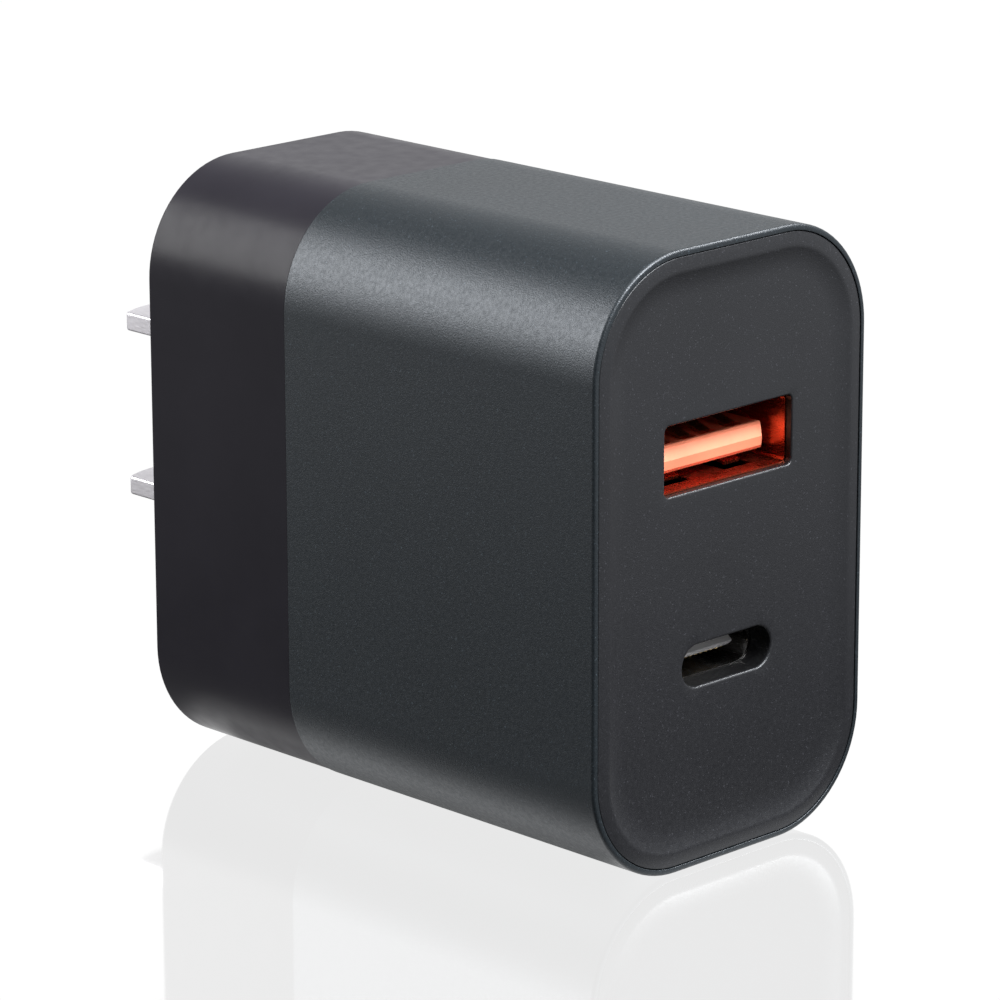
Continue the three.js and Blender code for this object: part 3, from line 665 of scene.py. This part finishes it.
def floor_glow(tree):
    """What the floor sends back to the object: dark below it, bright beside it and mid grey further off."""
    place = tree.nodes.new("ShaderNodeSeparateXYZ")
    tree.links.new(tree.nodes.new("ShaderNodeTexCoord").outputs["Object"], place.inputs[0])
    across = math_node(tree, "SUBTRACT", math_node(tree, "ABSOLUTE", place.outputs["X"]), GLOW_EDGE * MM)
    middle = (FRONT + REAR) / 2 * MM
    along = math_node(tree, "ABSOLUTE", math_node(tree, "SUBTRACT", place.outputs["Y"], middle))
    ends = math_node(tree, "SUBTRACT", along, ((REAR - FRONT) / 2 - GLOW_END_INSET) * MM)
    beyond = math_node(tree, "MAXIMUM", across, ends)
    spread = math_node(tree, "MULTIPLY_ADD", beyond, 1 / (GLOW_SPAN * MM))
    spread.node.inputs[2].default_value = GLOW_START
    ramp = tree.nodes.new("ShaderNodeValToRGB")
    fill_ramp(ramp.color_ramp, GLOW_STOPS)
    tree.links.new(spread, ramp.inputs["Fac"])
    ahead = tree.nodes.new("ShaderNodeValToRGB")
    fill_ramp(ahead.color_ramp, AHEAD_STOPS)
    before = math_node(tree, "MULTIPLY_ADD", place.outputs["Y"], -1 / (GLOW_SPAN * MM))
    before.node.inputs[2].default_value = -AHEAD_START / GLOW_SPAN
    tree.links.new(before, ahead.inputs["Fac"])
    aside = tree.nodes.new("ShaderNodeVectorMath")
    aside.operation = "SUBTRACT"
    aside.inputs[1].default_value = (SLEEVE_LOW.x * MM, FRONT * MM, 0)
    tree.links.new(place.inputs[0].links[0].from_socket, aside.inputs[0])
    direction = tree.nodes.new("ShaderNodeVectorMath")
    direction.operation = "NORMALIZE"
    tree.links.new(aside.outputs[0], direction.inputs[0])
    shaded = math_node(tree, "MULTIPLY", ramp.outputs["Color"], ahead.outputs["Color"])
    return math_node(tree, "MULTIPLY", shaded, camera_shade(tree, direction.outputs[0], FLOOR_SHADE_SPAN))


def camera_shade(tree, direction, span):
    """A factor that falls where direction nears the camera's side of the room, which is kept dark."""
    facing = tree.nodes.new("ShaderNodeVectorMath")
    facing.operation = "DOT_PRODUCT"
    facing.inputs[1].default_value = CAMERA_SIDE
    tree.links.new(direction, facing.inputs[0])
    shade = tree.nodes.new("ShaderNodeMapRange")
    shade.interpolation_type = "SMOOTHSTEP"
    set_range(shade, *span, 1, CAMERA_SHADE)
    tree.links.new(facing.outputs["Value"], shade.inputs["Value"])
    return shade.outputs["Result"]


def stage_material():
    """White to the eye with a faint mirror, and a softer white to what stands on it."""
    material = bpy.data.materials.new("stage_white")
    material.use_nodes = True
    tree = material.node_tree
    tree.nodes.clear()
    output = tree.nodes.new("ShaderNodeOutputMaterial")
    seen = tree.nodes.new("ShaderNodeEmission")
    seen.inputs["Strength"].default_value = FLOOR_SEEN
    mirror = tree.nodes.new("ShaderNodeBsdfGlossy")
    mirror.inputs["Roughness"].default_value = FLOOR_MIRROR_ROUGHNESS
    blend = tree.nodes.new("ShaderNodeMixShader")
    blend.inputs["Fac"].default_value = FLOOR_MIRROR
    bounce = tree.nodes.new("ShaderNodeEmission")
    path = tree.nodes.new("ShaderNodeLightPath")
    choose = tree.nodes.new("ShaderNodeMixShader")
    links = tree.links
    links.new(floor_glow(tree), bounce.inputs["Color"])
    links.new(seen.outputs[0], blend.inputs[1])
    links.new(mirror.outputs[0], blend.inputs[2])
    links.new(path.outputs["Is Camera Ray"], choose.inputs["Fac"])
    links.new(bounce.outputs[0], choose.inputs[1])
    links.new(blend.outputs[0], choose.inputs[2])
    links.new(choose.outputs[0], output.inputs["Surface"])
    return material


def make_stage():
    corners_around = [(x * STAGE_HALF, y * STAGE_HALF, 0) for x, y in ((-1, -1), (1, -1), (1, 1), (-1, 1))]
    mesh = bpy.data.meshes.new("stage_floor")
    mesh.from_pydata(corners_around, [], [(0, 1, 2, 3)])
    mesh.materials.append(stage_material())
    floor = bpy.data.objects.new("stage_floor", mesh)
    bpy.context.scene.collection.objects.link(floor)


def make_world():
    """White where the camera looks past the floor, and a room that is brighter above for the rest."""
    world = bpy.data.worlds.new("studio")
    bpy.context.scene.world = world
    world.use_nodes = True
    tree = world.node_tree
    background = tree.nodes["Background"]
    place = tree.nodes.new("ShaderNodeTexCoord")
    split = tree.nodes.new("ShaderNodeSeparateXYZ")
    ramp = tree.nodes.new("ShaderNodeValToRGB")
    fill_ramp(ramp.color_ramp, WORLD_STOPS)
    facing = tree.nodes.new("ShaderNodeVectorMath")
    facing.operation = "DOT_PRODUCT"
    facing.inputs[1].default_value = BACKDROP_SIDE
    glow = tree.nodes.new("ShaderNodeMapRange")
    glow.interpolation_type = "SMOOTHSTEP"
    set_range(glow, *BACKDROP_SPAN, 0, BACKDROP_GLOW)
    total = tree.nodes.new("ShaderNodeVectorMath")
    total.operation = "ADD"
    dimmed = tree.nodes.new("ShaderNodeVectorMath")
    dimmed.operation = "SCALE"
    path = tree.nodes.new("ShaderNodeLightPath")
    choose = tree.nodes.new("ShaderNodeMix")
    choose.data_type = "RGBA"
    choose.inputs["B"].default_value = (1, 1, 1, 1)
    links = tree.links
    links.new(place.outputs["Generated"], split.inputs[0])
    links.new(split.outputs["Z"], ramp.inputs["Fac"])
    links.new(place.outputs["Generated"], facing.inputs[0])
    links.new(facing.outputs["Value"], glow.inputs["Value"])
    links.new(ramp.outputs["Color"], total.inputs[0])
    links.new(glow.outputs["Result"], total.inputs[1])
    links.new(total.outputs["Vector"], dimmed.inputs[0])
    links.new(camera_shade(tree, place.outputs["Generated"], ROOM_SHADE_SPAN), dimmed.inputs["Scale"])
    links.new(dimmed.outputs["Vector"], choose.inputs["A"])
    links.new(path.outputs["Is Camera Ray"], choose.inputs["Factor"])
    links.new(choose.outputs["Result"], background.inputs["Color"])


def towards(azimuth, elevation):
    """The unit vector that points from the object to a viewer at these angles, in degrees."""
    a, e = math.radians(azimuth), math.radians(elevation)
    return Vector((math.sin(a) * math.cos(e), -math.cos(a) * math.cos(e), math.sin(e)))


def area_light(name, azimuth, elevation, distance, size, power):
    """A soft box aimed at the body, with its width and height in metres as its size."""
    back = towards(azimuth, elevation)
    data = bpy.data.lights.new(name, "AREA")
    data.shape = "RECTANGLE"
    data.size, data.size_y = size
    data.energy = power
    light = bpy.data.objects.new(name, data)
    light.location = BODY_CENTRE * MM + back * distance
    light.rotation_mode = "QUATERNION"
    light.rotation_quaternion = (-back).to_track_quat("-Z", "Y")
    light.visible_camera = False
    bpy.context.scene.collection.objects.link(light)


def make_camera():
    back = towards(CAMERA["azimuth"], CAMERA["elevation"])
    data = bpy.data.cameras.new("camera")
    data.sensor_width = CAMERA_SENSOR
    data.lens = CAMERA_LENS
    data.shift_x, data.shift_y = CAMERA_SHIFT
    data.clip_start, data.clip_end = 0.01, 50
    camera = bpy.data.objects.new("camera", data)
    camera.location = BODY_CENTRE * MM + back * CAMERA["distance"]
    camera.rotation_mode = "QUATERNION"
    aim = (-back).to_track_quat("-Z", "Y")
    camera.rotation_quaternion = Matrix.Rotation(math.radians(CAMERA["roll"]), 3, back).to_quaternion() @ aim
    bpy.context.scene.collection.objects.link(camera)
    bpy.context.scene.camera = camera


def make_lights():
    area_light("key_softbox", azimuth=-140, elevation=25.5, distance=0.9, size=(0.6, 0.57), power=8.6)
    area_light("front_softbox", azimuth=15, elevation=47, distance=1.0, size=(0.5, 0.3), power=24)
    area_light("rim_strip", azimuth=75, elevation=48, distance=1.0, size=(0.4, 0.16), power=8)


make_camera()
make_stage()
make_world()
make_lights()
bpy.context.scene.view_settings.view_transform = "Standard"
